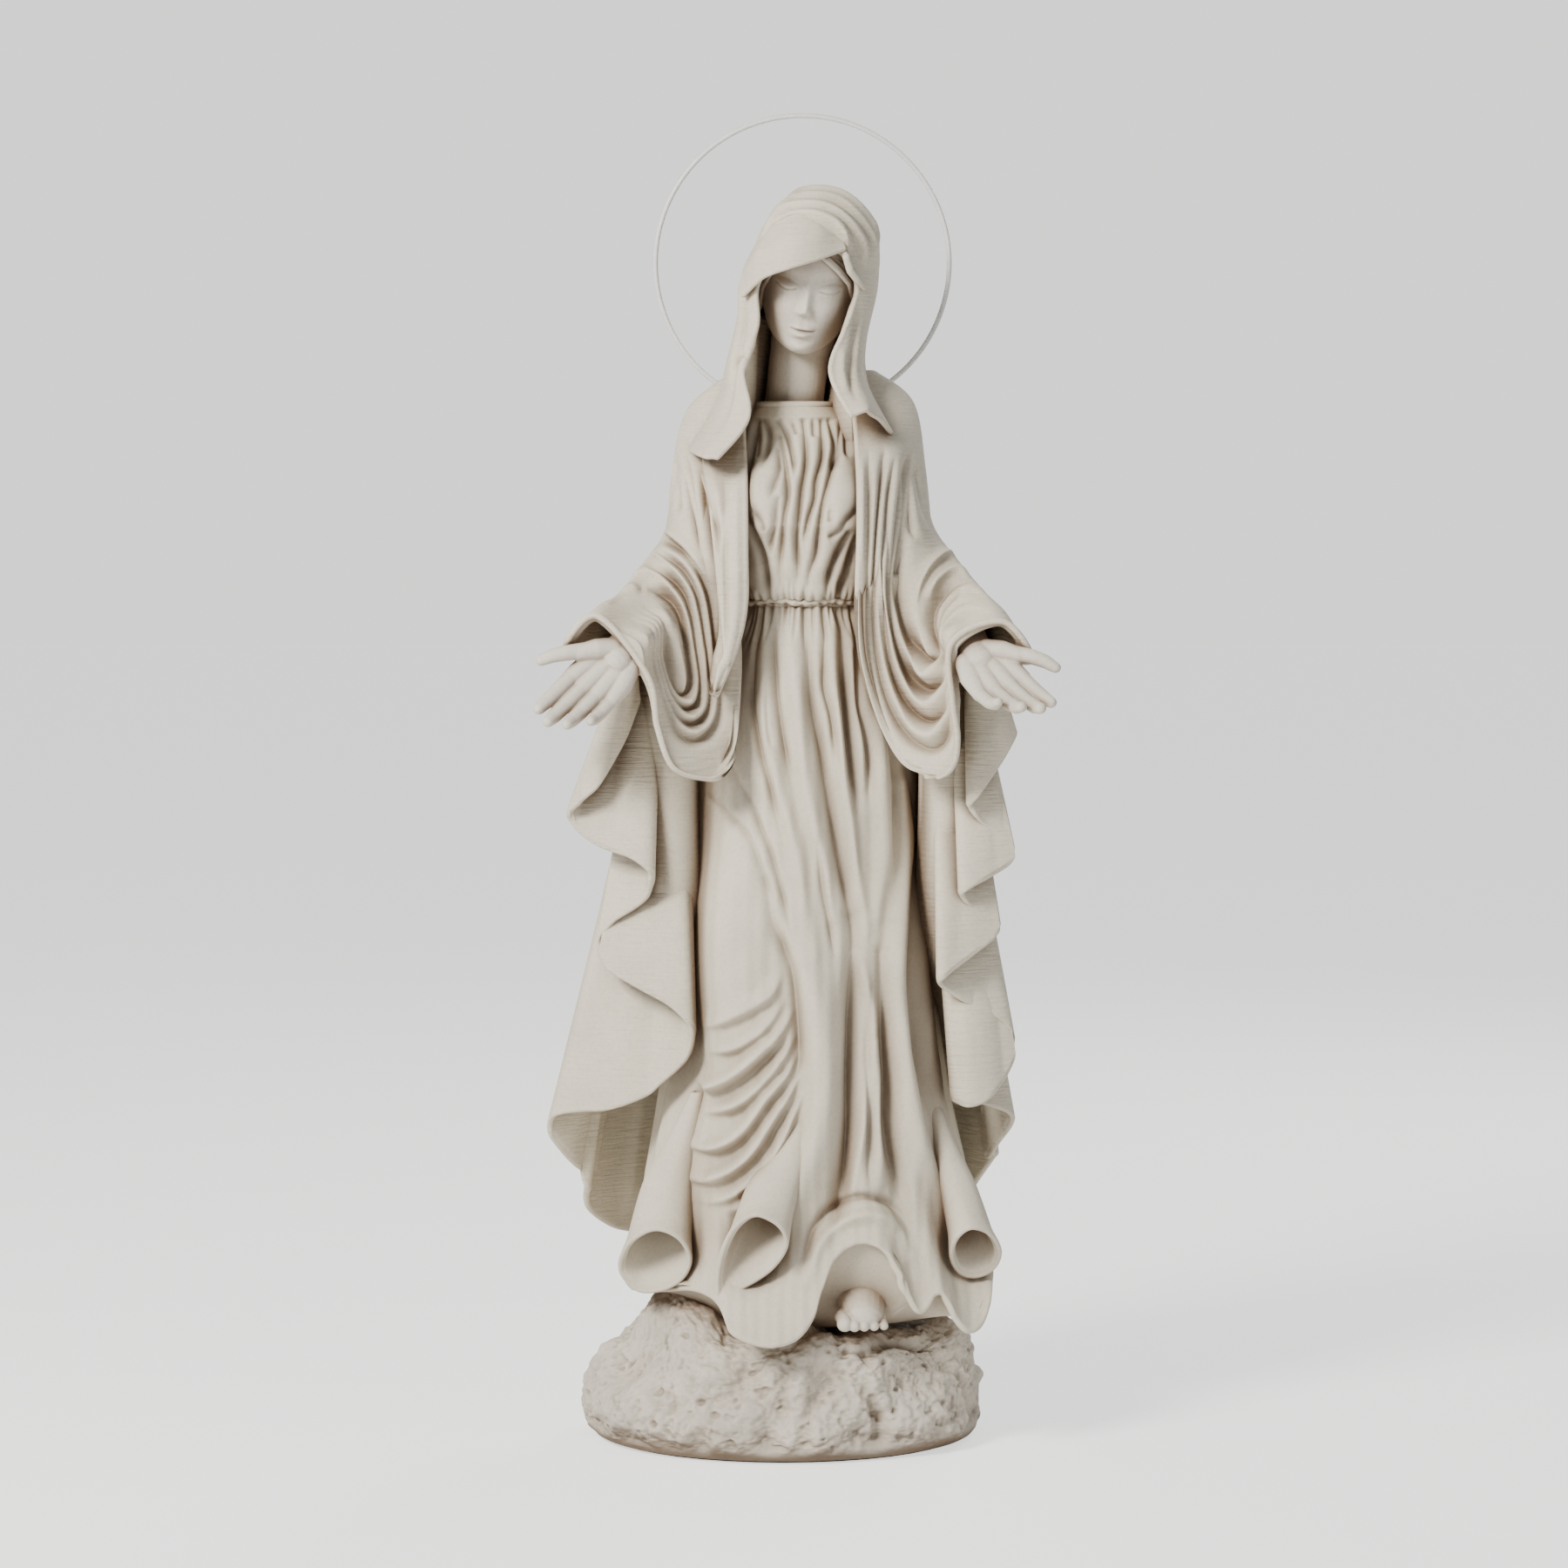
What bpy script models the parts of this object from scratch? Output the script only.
"""Draped standing figure on a rock base: a three-quarter life-size garden statue in cast stone resin.

The hollow gown, mantle, veil, head, hands, foot and rock base are separate castings. A steel post on
the base plate carries them from inside, and a wire halo plugs into a socket in the mantle's back.

Frame: metres, +Z up, the figure faces -Y, and the origin is the middle of the base on the ground.
"""

import math
import random

import bmesh
import bpy
from mathutils import Matrix, Vector

# ---- driving dimensions -------------------------------------------------------------------------
WALL = 0.0075  # wall of the hollow castings
BOND_GAP = 0.0006  # room for adhesive between castings
CLEAR = 0.0004  # gap between metal parts
SPINE_X = 0.020  # the figure stands a little to +X of the base's middle

POST_R = 0.0125
POST_WALL = 0.002
POST_TOP = 1.052
BAR_R = 0.008
BAR_Z = 1.064
NECK_PIN_R = 0.005
NECK_PIN_TOP = 1.197

HALO_R = 0.1680
HALO_WIRE_R = 0.0028
HALO_CENTRE = Vector((0.021, 0.112, 1.328))
STEM_R = 0.0028
STEM_BOTTOM = 1.068
SOCKET_R = 0.0070
SOCKET_BORE_R = 0.0034
SOCKET_Z = (1.060, 1.134)

PLATE_THICK = 0.012
LEDGE_Z = PLATE_THICK + CLEAR  # the plate lies flush with the rim, against a ledge inside it
RECESS = 0.0005  # how far screw heads and plug sit below the plate's face
SCREW_COUNT = 6
SCREW_SHANK_R = 0.0022
SCREW_HEAD_R = 0.0048
SCREW_HEAD = 0.0030
SCREW_LENGTH = 0.030
FLANGE_R = 0.052
FLANGE_THICK = 0.005
BOLT_COUNT = 4
BOLT_CIRCLE_R = 0.038
BOLT_SHANK_R = 0.0030
BOLT_HEAD_R = 0.0062
BOLT_HEAD = 0.0042
PLUG_AT = (0.105, 0.010)
PLUG_R = 0.0185
PLUG_LIP_R = 0.0235
PLUG_LIP = 0.003
DOWEL_R = 0.0040
DOWEL_LENGTH = 0.060

AROUND = 40  # facets round the large castings
ROUND = 16  # facets round pins and bores

# ---- colours: base colour, roughness, metallic --------------------------------------------------
STONE = ((0.74, 0.69, 0.61, 1), 0.80, 0.0)
ROCK = ((0.66, 0.61, 0.53, 1), 0.92, 0.0)
WHITE_STEEL = ((0.86, 0.86, 0.84, 1), 0.35, 0.6)
STEEL = ((0.55, 0.56, 0.58, 1), 0.35, 1.0)
BRASS = ((0.72, 0.58, 0.32, 1), 0.35, 1.0)
BOARD = ((0.18, 0.18, 0.19, 1), 0.60, 0.0)
RUBBER = ((0.05, 0.05, 0.05, 1), 0.85, 0.0)

# ---- outlines: each row is height, centre x, centre y, half width, half depth -------------------
GOWN_ROWS = (
    (0.146, 0.030, -0.012, 0.206, 0.164),
    (0.190, 0.029, -0.013, 0.198, 0.155),
    (0.262, 0.025, -0.016, 0.178, 0.142),
    (0.382, 0.022, -0.020, 0.158, 0.130),
    (0.532, 0.020, -0.022, 0.146, 0.124),
    (0.682, 0.020, -0.018, 0.134, 0.112),
    (0.832, 0.020, -0.012, 0.120, 0.098),
    (0.946, 0.020, -0.012, 0.092, 0.080),
    (1.022, 0.020, -0.020, 0.106, 0.096),
    (1.082, 0.018, -0.010, 0.106, 0.080),
    (1.122, 0.014, 0.000, 0.086, 0.060),
    (1.158, 0.010, 0.004, 0.048, 0.043),
)
FLUTES = 9  # folds that open out towards the gown's hem
FLUTE_TOP = 0.60
FLUTE_SHARE = 0.045
VEIL_ROWS = (
    (1.117, 0.018, 0.004, 0.098, 0.082),
    (1.152, 0.020, 0.004, 0.088, 0.080),
    (1.192, 0.024, 0.002, 0.076, 0.080),
    (1.242, 0.030, -0.002, 0.072, 0.086),
    (1.292, 0.034, -0.006, 0.074, 0.094),
    (1.332, 0.036, -0.008, 0.072, 0.093),
    (1.367, 0.037, -0.006, 0.060, 0.080),
    (1.392, 0.037, -0.002, 0.038, 0.052),
    (1.406, 0.037, 0.002, 0.010, 0.014),
)
HEAD_ROWS = (
    (1.110, 0.008, 0.004, 0.029, 0.029),
    (1.142, 0.010, 0.004, 0.028, 0.028),
    (1.192, 0.018, -0.006, 0.027, 0.029),
    (1.217, 0.028, -0.034, 0.030, 0.042),
    (1.242, 0.032, -0.034, 0.044, 0.058),
    (1.277, 0.034, -0.030, 0.052, 0.068),
    (1.317, 0.036, -0.020, 0.056, 0.074),
    (1.357, 0.037, -0.010, 0.048, 0.062),
    (1.384, 0.037, -0.002, 0.020, 0.026),
)
ROCK_ROWS = (
    (0.000, 0.000, 0.000, 0.214, 0.182),
    (0.030, 0.000, 0.000, 0.226, 0.194),
    (0.070, 0.003, 0.000, 0.224, 0.193),
    (0.104, 0.010, -0.004, 0.217, 0.187),
    (0.130, 0.020, -0.008, 0.211, 0.178),
    (0.144, 0.024, -0.008, 0.204, 0.170),
    (0.151, 0.022, -0.004, 0.180, 0.146),
    (0.156, 0.020, 0.000, 0.070, 0.060),
)
ROCK_WALL = 0.026
ROCK_REBATE = 0.013  # wall of the rim outside the base plate
ROCK_ROUGH = 0.005

# The mantle, level by level: height, then x, y of the left free edge, the left turn, the back left,
# the back, the back right, the right turn and the right free edge. Below the lapels the free edges
# swing in and out, which makes the folds that cascade down both sides.
MANTLE_ROWS = (
    (1.144, (-0.040, -0.052), (-0.078, 0.000), (-0.045, 0.062), (0.018, 0.080), (0.080, 0.062),
     (0.112, 0.000), (0.078, -0.052)),
    (1.107, (-0.041, -0.092), (-0.112, -0.004), (-0.074, 0.072), (0.018, 0.094), (0.106, 0.072),
     (0.146, -0.004), (0.080, -0.092)),
    (1.042, (-0.042, -0.122), (-0.120, -0.020), (-0.082, 0.080), (0.018, 0.102), (0.114, 0.080),
     (0.156, -0.020), (0.080, -0.122)),
    (0.962, (-0.044, -0.122), (-0.126, -0.030), (-0.088, 0.084), (0.018, 0.106), (0.122, 0.084),
     (0.164, -0.030), (0.082, -0.122)),
    (0.882, (-0.050, -0.122), (-0.140, -0.040), (-0.098, 0.088), (0.020, 0.112), (0.136, 0.088),
     (0.182, -0.040), (0.098, -0.122)),
    (0.822, (-0.125, -0.124), (-0.190, -0.062), (-0.120, 0.090), (0.022, 0.118), (0.160, 0.090),
     (0.232, -0.062), (0.170, -0.126)),
    (0.762, (-0.187, -0.130), (-0.225, -0.070), (-0.132, 0.094), (0.022, 0.124), (0.170, 0.094),
     (0.250, -0.066), (0.196, -0.126)),
    (0.708, (-0.226, -0.106), (-0.236, -0.062), (-0.138, 0.098), (0.022, 0.128), (0.174, 0.098),
     (0.252, -0.064), (0.186, -0.126)),
    (0.637, (-0.152, -0.138), (-0.210, -0.066), (-0.140, 0.102), (0.022, 0.132), (0.176, 0.102),
     (0.244, -0.062), (0.172, -0.130)),
    (0.572, (-0.202, -0.110), (-0.214, -0.060), (-0.142, 0.106), (0.022, 0.136), (0.178, 0.106),
     (0.250, -0.060), (0.170, -0.132)),
    (0.518, (-0.160, -0.136), (-0.226, -0.064), (-0.146, 0.110), (0.022, 0.140), (0.180, 0.110),
     (0.250, -0.056), (0.214, -0.112)),
    (0.462, (-0.110, -0.160), (-0.240, -0.066), (-0.150, 0.112), (0.022, 0.144), (0.184, 0.112),
     (0.256, -0.062), (0.182, -0.146)),
    (0.412, (-0.140, -0.160), (-0.254, -0.062), (-0.152, 0.114), (0.022, 0.146), (0.184, 0.114),
     (0.256, -0.058), (0.190, -0.142)),
    (0.367, (-0.246, -0.100), (-0.266, -0.052), (-0.154, 0.116), (0.022, 0.148), (0.186, 0.116),
     (0.242, -0.046), (0.226, -0.096)),
    (0.312, (-0.224, -0.070), (-0.228, -0.040), (-0.150, 0.116), (0.022, 0.150), (0.184, 0.116),
     (0.214, -0.034), (0.212, -0.066)),
    (0.267, (-0.208, -0.050), (-0.210, -0.028), (-0.144, 0.114), (0.022, 0.150), (0.182, 0.114),
     (0.204, -0.024), (0.202, -0.048)),
)

# Each sleeve, from the shoulder to the cuff: centre, radius, and how far its lowest point hangs.
LEFT_SLEEVE = (
    ((-0.075, 0.006, 1.110), 0.040, (0.000, 0.000, 0.000)),
    ((-0.105, -0.008, 1.042), 0.050, (0.010, -0.006, -0.010)),
    ((-0.136, -0.050, 0.962), 0.052, (0.060, -0.020, -0.040)),
    ((-0.160, -0.120, 0.908), 0.050, (0.092, -0.010, -0.085)),
    ((-0.188, -0.188, 0.882), 0.046, (0.120, 0.045, -0.095)),
)
RIGHT_SLEEVE = (
    ((0.108, 0.006, 1.104), 0.040, (0.000, 0.000, 0.000)),
    ((0.140, -0.008, 1.036), 0.048, (-0.010, -0.006, -0.010)),
    ((0.172, -0.050, 0.958), 0.050, (-0.040, -0.020, -0.040)),
    ((0.196, -0.120, 0.908), 0.048, (-0.056, -0.010, -0.085)),
    ((0.218, -0.184, 0.884), 0.046, (-0.062, 0.045, -0.095)),
)
CUFF_WALL = 0.008
FOOT_X = 0.086
ARCH_ANGLES = [2 * math.pi * i / 24 for i in range(24)]

# Each hand: wrist, finger direction, palm direction. Lengths below are along those directions.
LEFT_HAND = (
    Vector((-0.172, -0.196, 0.890)), Vector((-0.755, -0.363, -0.545)), Vector((0.00, -1.00, 0.25)), 1
)
RIGHT_HAND = (
    Vector((0.204, -0.192, 0.892)), Vector((0.560, -0.640, -0.420)), Vector((0.00, -0.70, 0.70)), -1
)
# Finger: knuckle and tip as (along, towards the thumb, towards the palm), and the tip's radius.
FINGERS = (
    ((0.060, 0.018, 0.000), (0.106, 0.024, 0.006), 0.0050),
    ((0.064, 0.006, 0.000), (0.116, 0.008, 0.008), 0.0052),
    ((0.061, -0.006, 0.000), (0.110, -0.008, 0.009), 0.0050),
    ((0.054, -0.017, 0.000), (0.094, -0.023, 0.008), 0.0044),
    ((0.022, 0.016, 0.004), (0.064, 0.046, 0.010), 0.0056),
)


# ---- shape tools ----------------------------------------------------------------------------------
def clear_scene():
    for obj in list(bpy.data.objects):
        bpy.data.objects.remove(obj, do_unlink=True)


def material(name, look):
    made = bpy.data.materials.get(name)
    if made:
        return made
    made = bpy.data.materials.new(name)
    made.use_nodes = True
    shader = made.node_tree.nodes["Principled BSDF"]
    colour, roughness, metallic = look
    shader.inputs["Base Color"].default_value = colour
    shader.inputs["Roughness"].default_value = roughness
    shader.inputs["Metallic"].default_value = metallic
    made.diffuse_color = colour
    return made


def through(points, per_span, closed=False):
    """A smooth curve through the points, of any dimension, with per_span steps between neighbours."""
    count = len(points)
    spans = count if closed else count - 1

    def at(i):
        return points[i % count] if closed else points[max(0, min(count - 1, i))]

    curve = []
    for i in range(spans):
        p0, p1, p2, p3 = at(i - 1), at(i), at(i + 1), at(i + 2)
        for step in range(per_span):
            t = step / per_span
            curve.append(
                tuple(
                    0.5 * (2 * b + (c - a) * t + (2 * a - 5 * b + 4 * c - d) * t**2
                           + (3 * b - a - 3 * c + d) * t**3)
                    for a, b, c, d in zip(p0, p1, p2, p3)
                )
            )
    if not closed:
        curve.append(tuple(points[-1]))
    return curve


def loft(name, rings, look, join_ends=False):
    """Rings of points bridged in turn. The ends are capped, or joined to each other, as on a tube wall."""
    bm = bmesh.new()
    loops = []
    for ring in rings:
        verts = [bm.verts.new(p) for p in ring]
        loops.append(verts)
    count = len(loops[0])
    pairs = list(zip(loops, loops[1:]))
    if join_ends:
        pairs.append((loops[-1], loops[0]))
    for low, high in pairs:
        for i in range(count):
            j = (i + 1) % count
            bm.faces.new((low[i], low[j], high[j], high[i]))
    if not join_ends:
        bm.faces.new(loops[0])
        bm.faces.new(loops[-1])
    bmesh.ops.recalc_face_normals(bm, faces=bm.faces)
    return finish(name, bm, look)


def finish(name, bm, look, helper=False):
    mesh = bpy.data.meshes.new(name)
    bm.to_mesh(mesh)
    bm.free()
    mesh.shade_smooth()
    mesh.set_sharp_from_angle(angle=math.radians(40))
    obj = bpy.data.objects.new(name, mesh)
    bpy.context.scene.collection.objects.link(obj)
    if look:
        obj.data.materials.append(material(*look))
    return obj


def as_helper(obj):
    obj.hide_render = True
    obj.display_type = "WIRE"
    return obj


def boolean(obj, other, operation):
    cut = obj.modifiers.new(f"{operation.lower()} {other.name}", "BOOLEAN")
    cut.operation = operation
    cut.object = as_helper(other)
    cut.solver = "EXACT"
    return cut


def swollen(name, obj, by):
    """A helper that copies obj, pushed out along its normals, to cut its seat in a neighbour."""
    copy = obj.copy()
    copy.name = name
    bpy.context.scene.collection.objects.link(copy)
    push = copy.modifiers.new("gap", "DISPLACE")
    push.mid_level = 0.0
    push.strength = by
    return as_helper(copy)


def ellipse(z, cx, cy, rx, ry, count, share=None):
    """A level ring. share, if given, scales the radius by direction, for flutes and rough stone."""
    ring = []
    for i in range(count):
        a = 2 * math.pi * i / count
        k = share(a, z) if share else 1.0
        ring.append((cx + rx * k * math.cos(a), cy + ry * k * math.sin(a), z))
    return ring


def rod(name, low, high, radius, look, facets=ROUND):
    """A round bar between two points."""
    low, high = Vector(low), Vector(high)
    along = high - low
    bm = bmesh.new()
    turn = along.to_track_quat("Z", "Y").to_matrix().to_4x4()
    place = Matrix.Translation((low + high) / 2) @ turn
    bmesh.ops.create_cone(
        bm, cap_ends=True, segments=facets, radius1=radius, radius2=radius, depth=along.length, matrix=place
    )
    return finish(name, bm, look)


def turned(name, profile, centre, look, facets=ROUND, bored=False):
    """A turned piece about a vertical axis. A bored profile is a closed wall, otherwise it runs solid."""
    rings = [ellipse(z, centre[0], centre[1], r, r, facets) for r, z in profile]
    return loft(name, rings, look, join_ends=bored)


def finger(name, path, radii, look=None, facets=10):
    """A tapered round limb along a path, with rounded ends."""
    points = [Vector(p) for p in path]
    along = (points[-1] - points[0]).normalized()
    side = along.orthogonal().normalized()
    other = along.cross(side)
    stations = [(points[0] - along * radii[0] * 0.7, radii[0] * 0.6)]
    stations += list(zip(points, radii))
    stations += [(points[-1] + along * radii[-1] * 0.7, radii[-1] * 0.6)]
    rings = []
    for point, radius in stations:
        ring = []
        for i in range(facets):
            a = 2 * math.pi * i / facets
            ring.append(point + side * radius * math.cos(a) + other * radius * math.sin(a))
        rings.append(ring)
    return loft(name, rings, look)


# ---- castings -------------------------------------------------------------------------------------
def flute(angle, z):
    fade = max(0.0, min(1.0, (FLUTE_TOP - z) / (FLUTE_TOP - GOWN_ROWS[0][0])))
    return 1 + FLUTE_SHARE * fade * math.cos(FLUTES * angle + 0.6)


def gown_rings(extra, steps=2):
    rows = through(GOWN_ROWS, steps)
    return [ellipse(z, cx, cy, rx + extra, ry + extra, AROUND, flute) for z, cx, cy, rx, ry in rows]


def gown_shell():
    rings = gown_rings(0.0) + gown_rings(-WALL, 1)[::-1]
    return loft("gown_shell", rings, ("stone_resin", STONE), join_ends=True)


def gown_envelope(name, extra):
    """The gown's outside as a solid, longer at both ends, to cut its seat in the castings over it."""
    rings = gown_rings(extra)
    low = [(x, y, z - 0.05) for x, y, z in rings[0]]
    return as_helper(loft(name, [low] + rings, None))


def head():
    rings = [ellipse(*row, 24) for row in through(HEAD_ROWS, 2)]
    made = loft("head", rings, ("stone_resin", STONE))
    nose = finger("nose", [(0.034, -0.100, 1.292), (0.033, -0.110, 1.268)], (0.004, 0.007))
    boolean(made, nose, "UNION")
    return made


def veil_outer(name, extra, look):
    rows = through(VEIL_ROWS, 2)
    return loft(name, [ellipse(z, cx, cy, rx + extra, ry + extra, 30) for z, cx, cy, rx, ry in rows], look)


def veil_hood(head_obj):
    made = veil_outer("veil_hood", 0.0, ("stone_resin", STONE))
    rows = [row for row in HEAD_ROWS if row[0] > 1.13]
    cavity_rows = [(1.08, 0.012, -0.06, 0.046, 0.075)]
    cavity_rows += [(z, cx, cy, max(rx, 0.046) + 0.004, ry + 0.012) for z, cx, cy, rx, ry in rows[:5]]
    cavity_rows += [(z + 0.002, cx, cy, rx + 0.004, ry + 0.003) for z, cx, cy, rx, ry in rows[5:]]
    cavity = loft("head_cavity", [ellipse(*row, 24) for row in cavity_rows], None)
    boolean(made, cavity, "DIFFERENCE")
    opening_rows = (
        (1.072, 0.014, -0.120, 0.040, 0.100),
        (1.152, 0.018, -0.120, 0.040, 0.100),
        (1.232, 0.028, -0.120, 0.050, 0.095),
        (1.292, 0.032, -0.130, 0.052, 0.090),
        (1.322, 0.040, -0.140, 0.042, 0.085),
        (1.340, 0.052, -0.150, 0.018, 0.080),
    )
    opening = loft("face_opening", [ellipse(*row, 24) for row in through(opening_rows, 2)], None)
    boolean(made, opening, "DIFFERENCE")
    boolean(made, gown_envelope("gown_under_veil", BOND_GAP), "DIFFERENCE")
    return made


def mantle_outline(row):
    """One level of the mantle: out along its outer face and back along its inner face."""
    z = row[0]
    outer = through(row[1:], 2)
    inner = []
    for i, (x, y) in enumerate(outer):
        ahead, behind = outer[min(i + 1, len(outer) - 1)], outer[max(i - 1, 0)]
        along = Vector((ahead[0] - behind[0], ahead[1] - behind[1])).normalized()
        inner.append((x + WALL * along.y, y - WALL * along.x))
    return [(x, y, z) for x, y in outer + inner[::-1]]


def mantle_levels():
    flat = [(row[0],) + tuple(c for point in row[1:] for c in point) for row in MANTLE_ROWS]
    rows = through(flat, 2)
    return [(row[0],) + tuple(zip(row[1::2], row[2::2])) for row in rows]


def sleeve_ring(centre, radius, hang, along, count=20):
    """A round section across the arm, its lower half drawn down by the cloth's hang."""
    centre, hang = Vector(centre), Vector(hang)
    side = along.cross(Vector((0, 0, 1))).normalized()
    up = side.cross(along).normalized()
    ring = []
    for i in range(count):
        a = 2 * math.pi * i / count
        low = max(0.0, -math.sin(a))
        ring.append(centre + radius * (side * math.cos(a) + up * math.sin(a)) + hang * low**1.5)
    return ring


def sleeve(name, stations):
    """A wide sleeve: solid to the elbow, with a hollow mouth at the cuff."""
    flat = [tuple(centre) + (radius,) + tuple(hang) for centre, radius, hang in stations]
    rows = through(flat, 2)
    rings = []
    inner = []
    for i, row in enumerate(rows):
        ahead, behind = rows[min(i + 1, len(rows) - 1)], rows[max(i - 1, 0)]
        along = (Vector(ahead[:3]) - Vector(behind[:3])).normalized()
        rings.append(sleeve_ring(row[:3], row[3], row[4:], along))
        if i >= len(rows) - 4:
            hang = Vector(row[4:]) * (1 - CUFF_WALL / 0.10)
            inner.append(sleeve_ring(row[:3], row[3] - CUFF_WALL, hang, along))
    return loft(name, rings + inner[::-1], None)


def mantle_shell():
    made = loft("mantle_shell", [mantle_outline(row) for row in mantle_levels()], ("stone_resin", STONE))
    boolean(made, sleeve("left_sleeve", LEFT_SLEEVE), "UNION")
    boolean(made, sleeve("right_sleeve", RIGHT_SLEEVE), "UNION")
    boss_y = HALO_CENTRE.y
    boss = turned(
        "halo_boss",
        ((0.004, 1.034), (0.012, 1.046), (0.014, 1.064), (0.014, 1.126), (0.011, 1.133)),
        (HALO_CENTRE.x, boss_y),
        None,
    )
    boolean(made, boss, "UNION")
    boolean(made, gown_envelope("gown_under_mantle", BOND_GAP), "DIFFERENCE")
    boolean(made, veil_outer("veil_over_mantle", BOND_GAP, None), "DIFFERENCE")
    seat = rod(
        "socket_seat",
        (HALO_CENTRE.x, boss_y, SOCKET_Z[0] - CLEAR),
        (HALO_CENTRE.x, boss_y, SOCKET_Z[1] + 0.02),
        SOCKET_R + CLEAR,
        None,
    )
    boolean(made, seat, "DIFFERENCE")
    return made


def hand_axes(hand):
    """Unit vectors along the fingers, towards the thumb and out of the palm."""
    _, along, palm, handed = hand
    along = along.normalized()
    palm = (palm - along * palm.dot(along)).normalized()
    return along, along.cross(palm) * handed, palm


def hand(name, frame):
    wrist = frame[0]
    along, thumb, palm = hand_axes(frame)

    def place(p):
        return wrist + along * p[0] + thumb * p[1] + palm * p[2]

    sections = (
        (-0.030, 0.0, 0.0130, 0.0120),
        (0.000, 0.0, 0.0150, 0.0125),
        (0.025, 0.0, 0.0230, 0.0125),
        (0.055, 0.0, 0.0250, 0.0090),
        (0.066, 0.0, 0.0230, 0.0070),
    )
    rings = []
    for reach, middle, wide, thick in sections:
        ring = []
        for i in range(16):
            a = 2 * math.pi * i / 16
            ring.append(place((reach, middle + wide * math.cos(a), thick * math.sin(a))))
        rings.append(ring)
    made = loft(name, rings, ("stone_resin", STONE))
    for i, (knuckle, tip, radius) in enumerate(FINGERS):
        root = tuple(k - 0.25 * (t - k) for k, t in zip(knuckle, tip))
        middle = tuple((k + t) / 2 for k, t in zip(knuckle, tip))
        limb = finger(
            f"{name}_finger_{i}", [place(root), place(middle), place(tip)],
            (radius * 1.25, radius * 1.1, radius)
        )
        boolean(made, limb, "UNION")
    return made


def dowel(name, frame, hand_obj, mantle_obj):
    """A steel pin, half in the wrist and half in the web inside the sleeve."""
    wrist = frame[0]
    along = hand_axes(frame)[0]
    start, end = wrist - along * DOWEL_LENGTH * 0.65, wrist + along * DOWEL_LENGTH * 0.35
    pin = rod(name, start, end, DOWEL_R, ("steel", STEEL), 16)
    for target in (hand_obj, mantle_obj):
        bore = rod(f"{name}_bore", start - along * CLEAR, end + along * CLEAR, DOWEL_R + CLEAR, None, 16)
        boolean(target, bore, "DIFFERENCE")
    return pin


def foot(gown):
    """The front of one foot, cast apart, standing out under an arch in the hem."""
    sole = GOWN_ROWS[0][0]
    heel, ball = (FOOT_X - 0.004, -0.120, sole + 0.024), (FOOT_X, -0.160, sole + 0.017)
    made = finger("foot", [heel, ball], (0.021, 0.0165), ("stone_resin", STONE), 14)
    for i in range(5):
        x = FOOT_X - 0.018 + 0.0088 * i
        reach = -0.186 + 0.0026 * i
        toe = finger(f"toe_{i}", [(x, -0.155, sole + 0.009), (x, reach, sole + 0.007)], (0.0064, 0.0058))
        boolean(made, toe, "UNION")
    flat = rod("sole_cut", (FOOT_X, -0.15, sole - 0.05), (FOOT_X, -0.15, sole), 0.12, None)
    boolean(made, flat, "DIFFERENCE")
    arch_rings = []
    for y in (-0.30, -0.10):
        arch_rings.append([
            (FOOT_X + 0.036 * math.cos(a), y, sole + 0.002 + 0.044 * math.sin(a)) for a in ARCH_ANGLES
        ])
    boolean(gown, loft("foot_arch", arch_rings, None), "DIFFERENCE")
    return made


def hem_seat():
    """A step round the rock's top: the gown's hem stands on it, and the rock inside keys the gown."""
    low, high = GOWN_ROWS[0][0] - BOND_GAP, GOWN_ROWS[1][0]
    inner = [ring for ring in gown_rings(-WALL - BOND_GAP, 1) if ring[0][2] <= high]
    inner.insert(0, [(x, y, low) for x, y, z in inner[0]])
    reach = ROCK_ROWS[1][3] + 0.03
    outer = [ellipse(z, 0, 0, reach, reach, AROUND) for z in (inner[-1][0][2], low)]
    return loft("hem_seat", inner + outer, None, join_ends=True)


def rock_base(foot_obj):
    rng = random.Random(7)
    table = {}

    def rough(angle, z):
        key = (round(angle, 3), round(z, 4))
        if key not in table:
            table[key] = 1 + ROCK_ROUGH / 0.2 * (rng.random() * 2 - 1) + 0.012 * math.sin(5 * angle + 20 * z)
        return table[key]

    outer = [ellipse(*row, AROUND, rough if row[0] > 0 else None) for row in through(ROCK_ROWS, 1)]
    top = ROCK_ROWS[-1]
    hole = POST_R + 0.004
    outer.append(ellipse(top[0], SPINE_X, 0, hole, hole, AROUND))
    under = []
    for z, cx, cy, rx, ry in ROCK_ROWS[::-1]:
        if 0.03 < z:
            under.append(ellipse(z - ROCK_WALL * 0.8, cx, cy, rx - ROCK_WALL, ry - ROCK_WALL, AROUND))
    under.insert(0, ellipse(top[0] - 0.021, SPINE_X, 0, hole, hole, AROUND))
    base = ROCK_ROWS[0]
    ledge_rx, ledge_ry = base[3] - ROCK_WALL, base[4] - ROCK_WALL
    rim_rx, rim_ry = base[3] - ROCK_REBATE, base[4] - ROCK_REBATE
    under.append(ellipse(LEDGE_Z, 0, 0, ledge_rx, ledge_ry, AROUND))
    under.append(ellipse(LEDGE_Z, 0, 0, rim_rx, rim_ry, AROUND))
    under.append(ellipse(0.0, 0, 0, rim_rx, rim_ry, AROUND))
    made = loft("rock_base", outer + under, ("rock_resin", ROCK), join_ends=True)
    boolean(made, swollen("foot_seat", foot_obj, BOND_GAP), "DIFFERENCE")
    boolean(made, hem_seat(), "DIFFERENCE")
    return made


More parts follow.
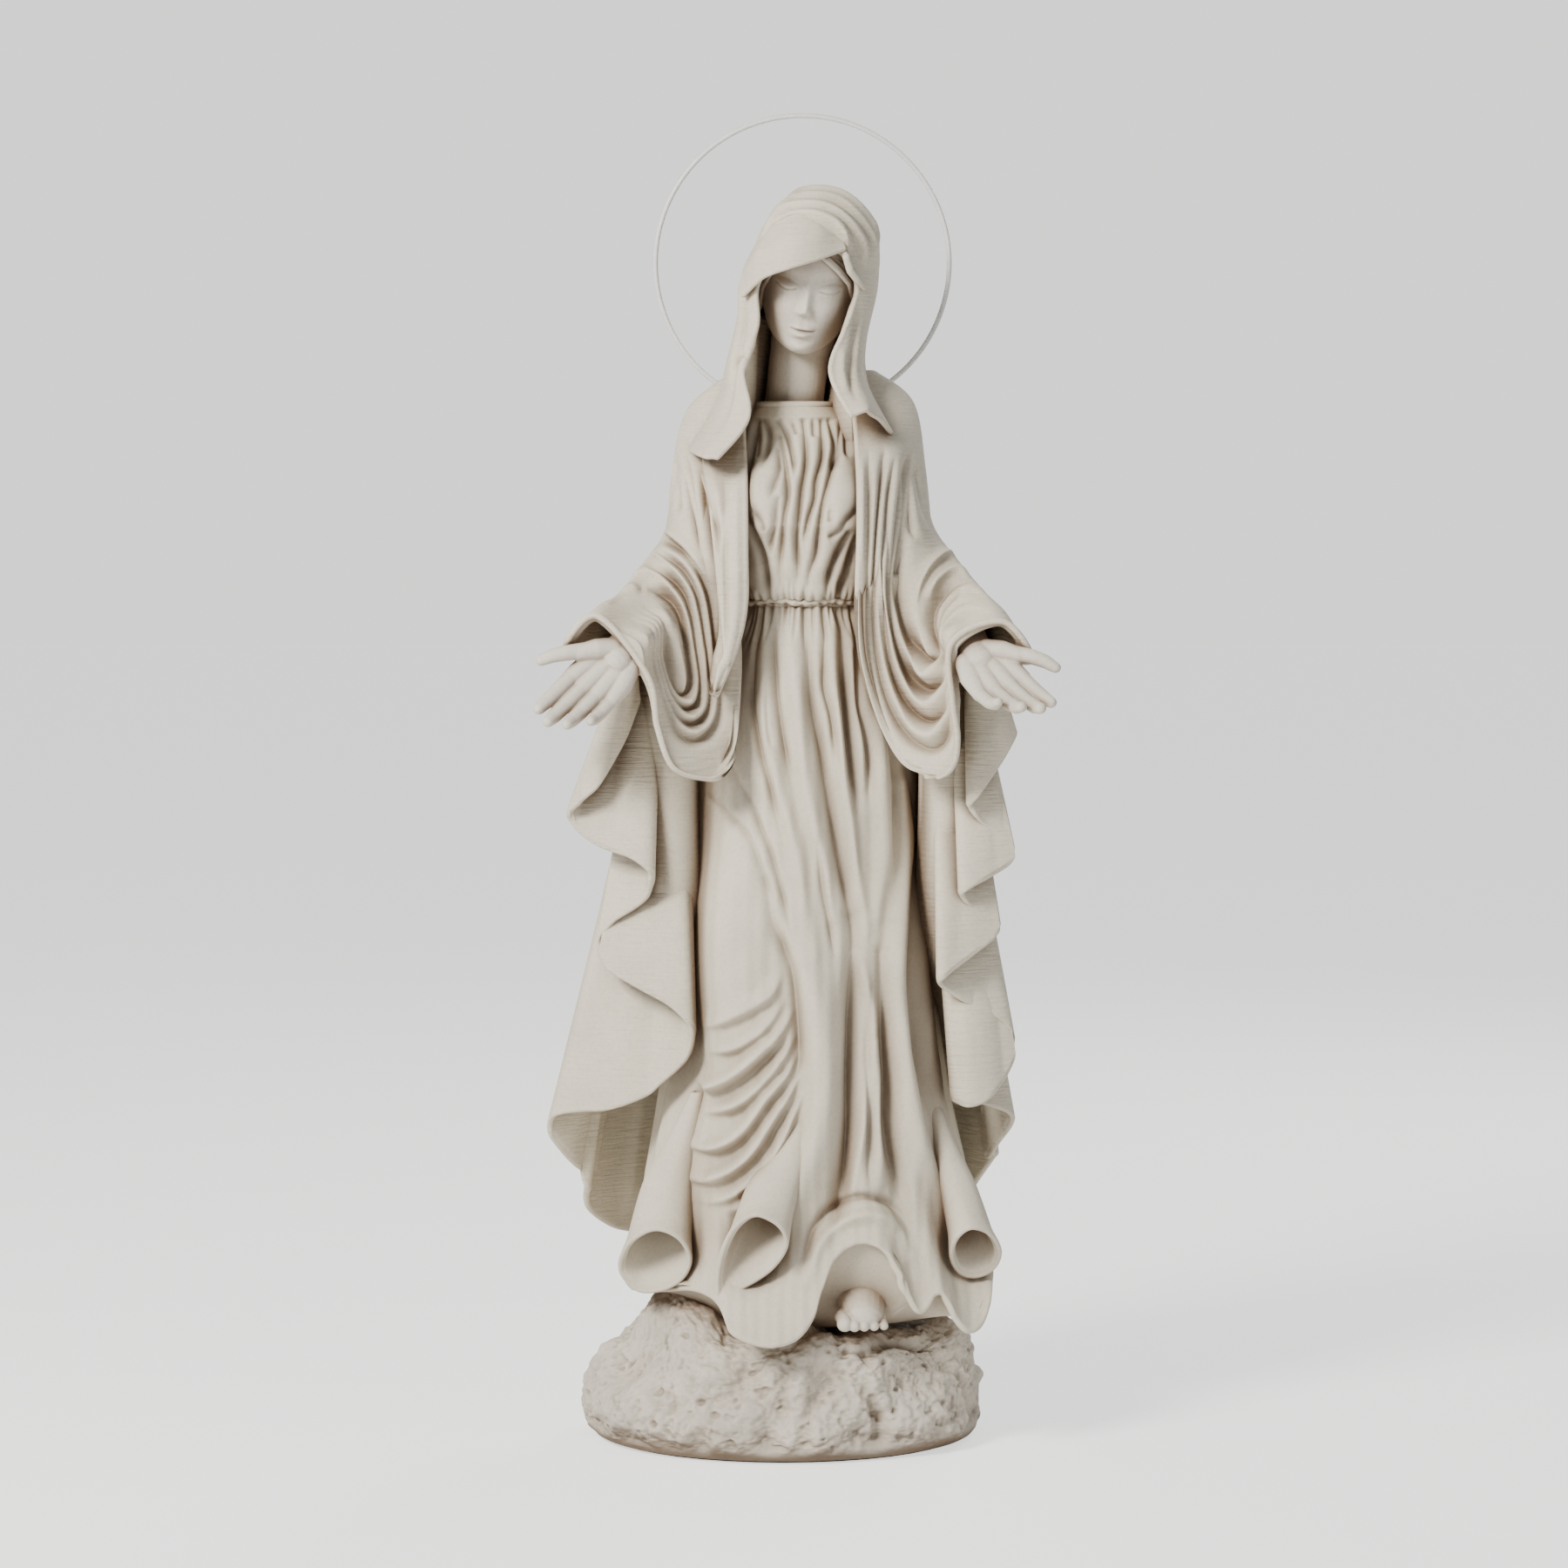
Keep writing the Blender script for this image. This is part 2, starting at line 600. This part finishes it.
# ---- inner parts ------------------------------------------------------------------------------------
def base_plate():
    gap = ROCK_REBATE + 0.0008
    rx, ry = ROCK_ROWS[0][3] - gap, ROCK_ROWS[0][4] - gap
    rings = [ellipse(z, 0, 0, rx, ry, AROUND) for z in (0.0, PLATE_THICK)]
    return loft("base_plate", rings, ("base_board", BOARD))


def bolt(name, at, head_r, head_z, shank_r, shank_end):
    """A cylinder-headed bolt on a vertical axis. head_z is the head's far face, then its seat."""
    head_far, seat = head_z
    step = math.copysign(0.0001, seat - head_far)
    profile = (
        (head_r * 0.85, head_far),
        (head_r, head_far + step * 5),
        (head_r, seat),
        (shank_r, seat + step),
        (shank_r, shank_end - step * 10),
        (shank_r * 0.5, shank_end),
    )
    if step < 0:
        profile = profile[::-1]
    return turned(name, profile, at, ("steel", STEEL), 12)


def bore_through(name, at, radius, low, high, targets, facets=12):
    for target in targets:
        boolean(target, rod(name, (*at, low), (*at, high), radius, None, facets), "DIFFERENCE")


def screws(plate, rock):
    """Screws with sunk heads, up through the plate's margin into the rock base's ledge."""
    ring_x = ROCK_ROWS[0][3] - (ROCK_WALL + ROCK_REBATE) / 2
    ring_y = ROCK_ROWS[0][4] - (ROCK_WALL + ROCK_REBATE) / 2
    for i in range(SCREW_COUNT):
        a = 2 * math.pi * (i + 0.5) / SCREW_COUNT
        at = (ring_x * math.cos(a), ring_y * math.sin(a))
        seat = RECESS + SCREW_HEAD
        end = seat + SCREW_LENGTH
        bolt(f"base_screw_{i + 1}", at, SCREW_HEAD_R, (RECESS, seat), SCREW_SHANK_R, end)
        bore_through(f"head_seat_{i + 1}", at, SCREW_HEAD_R + CLEAR, -0.001, seat + CLEAR, [plate])
        bore_through(f"screw_bore_{i + 1}", at, SCREW_SHANK_R + CLEAR, 0.001, end + 0.001, [plate, rock])


def post_and_flange(plate):
    low = PLATE_THICK + CLEAR
    top = low + FLANGE_THICK
    at = (SPINE_X, 0.0)
    flange = turned("post_flange", ((FLANGE_R, low), (FLANGE_R, top)), at, ("steel", STEEL), 32)
    inner = POST_R - POST_WALL
    wall = ((POST_R, top + CLEAR), (POST_R, POST_TOP), (inner, POST_TOP), (inner, top + CLEAR))
    turned("armature_post", wall, at, ("steel", STEEL), ROUND, bored=True)
    seat, end = top + CLEAR, PLATE_THICK * 0.25
    for i in range(BOLT_COUNT):
        a = 2 * math.pi * (i + 0.5) / BOLT_COUNT
        spot = (at[0] + BOLT_CIRCLE_R * math.cos(a), at[1] + BOLT_CIRCLE_R * math.sin(a))
        bolt(f"flange_bolt_{i + 1}", spot, BOLT_HEAD_R, (seat + BOLT_HEAD, seat), BOLT_SHANK_R, end)
        bore_through(
            f"bolt_bore_{i + 1}", spot, BOLT_SHANK_R + CLEAR, end - CLEAR, seat + 0.01, [flange, plate]
        )


def shoulder_bar_and_neck_pin(head_obj):
    left, right = (SPINE_X - 0.088, -0.004, BAR_Z), (SPINE_X + 0.084, -0.004, BAR_Z)
    rod("shoulder_bar", left, right, BAR_R, ("steel", STEEL))
    foot_z = BAR_Z + BAR_R + CLEAR
    low, high = Vector((0.010, 0.002, foot_z)), Vector((0.012, 0.000, NECK_PIN_TOP))
    rod("neck_pin", low, high, NECK_PIN_R, ("steel", STEEL), 16)
    along = (high - low).normalized()
    bore = rod("neck_bore", low - along * 0.01, high + along * CLEAR, NECK_PIN_R + CLEAR, None, 16)
    boolean(head_obj, bore, "DIFFERENCE")


def ballast_plug(plate):
    """A rubber plug in the filling hole, flush with the plate's face."""
    shoulder = RECESS + PLUG_LIP
    profile = (
        (PLUG_LIP_R, RECESS),
        (PLUG_LIP_R, shoulder),
        (PLUG_R, shoulder + 0.0001),
        (PLUG_R * 0.96, PLATE_THICK + 0.004),
    )
    plug = turned("ballast_plug", profile, PLUG_AT, ("rubber", RUBBER), 28)
    hang_from([plug], "plug_axis", (*PLUG_AT, 0.0))
    bore_through("plug_bore", PLUG_AT, PLUG_R + BOND_GAP, -0.01, 0.05, [plate], 28)
    bore_through("lip_seat", PLUG_AT, PLUG_LIP_R + BOND_GAP, -0.01, shoulder + CLEAR, [plate], 28)


def halo():
    """The ring and its straight stem are one welded wire frame; the socket stays in the mantle."""
    x, y, z = HALO_CENTRE
    segments, sides = 64, 8
    rings = []
    for i in range(segments):
        a = 2 * math.pi * i / segments
        out = Vector((math.sin(a), 0, -math.cos(a)))
        ring = []
        for k in range(sides):
            b = 2 * math.pi * k / sides
            reach = HALO_R + HALO_WIRE_R * math.cos(b)
            ring.append(HALO_CENTRE + out * reach + Vector((0, HALO_WIRE_R * math.sin(b), 0)))
        rings.append(ring)
    ring_obj = loft("halo_ring", rings, ("halo_metal", WHITE_STEEL), join_ends=True)
    top = z - HALO_R - HALO_WIRE_R - CLEAR
    stem = rod("halo_stem", (x, y, STEM_BOTTOM), (x, y, top), STEM_R, ("halo_metal", WHITE_STEEL), 16)
    hang_from([ring_obj, stem], "halo_axis", (x, y, STEM_BOTTOM))
    low, high = SOCKET_Z
    wall = (
        (SOCKET_R, low),
        (SOCKET_R, high),
        (SOCKET_BORE_R, high),
        (SOCKET_BORE_R, low + 0.004),
        (0.0012, low + 0.004),
        (0.0012, low),
    )
    turned("halo_socket", wall, (x, y), ("brass", BRASS), ROUND, bored=True)


def hang_from(objects, name, at):
    """Parents the objects to an empty on their joint's axis, leaving them where they are."""
    empty = bpy.data.objects.new(name, None)
    empty.location = at
    bpy.context.scene.collection.objects.link(empty)
    for obj in objects:
        obj.parent = empty
        obj.matrix_parent_inverse = Matrix.Translation(-Vector(at))


def main():
    clear_scene()
    gown = gown_shell()
    head_obj = head()
    veil_hood(head_obj)
    mantle = mantle_shell()
    for name, frame in (("left_hand", LEFT_HAND), ("right_hand", RIGHT_HAND)):
        made = hand(name, frame)
        boolean(mantle, swollen(f"{name}_seat", made, BOND_GAP), "DIFFERENCE")
        dowel(f"{name}_dowel", frame, made, mantle)
    foot_obj = foot(gown)
    rock = rock_base(foot_obj)
    plate = base_plate()
    screws(plate, rock)
    post_and_flange(plate)
    shoulder_bar_and_neck_pin(head_obj)
    ballast_plug(plate)
    halo()


main()
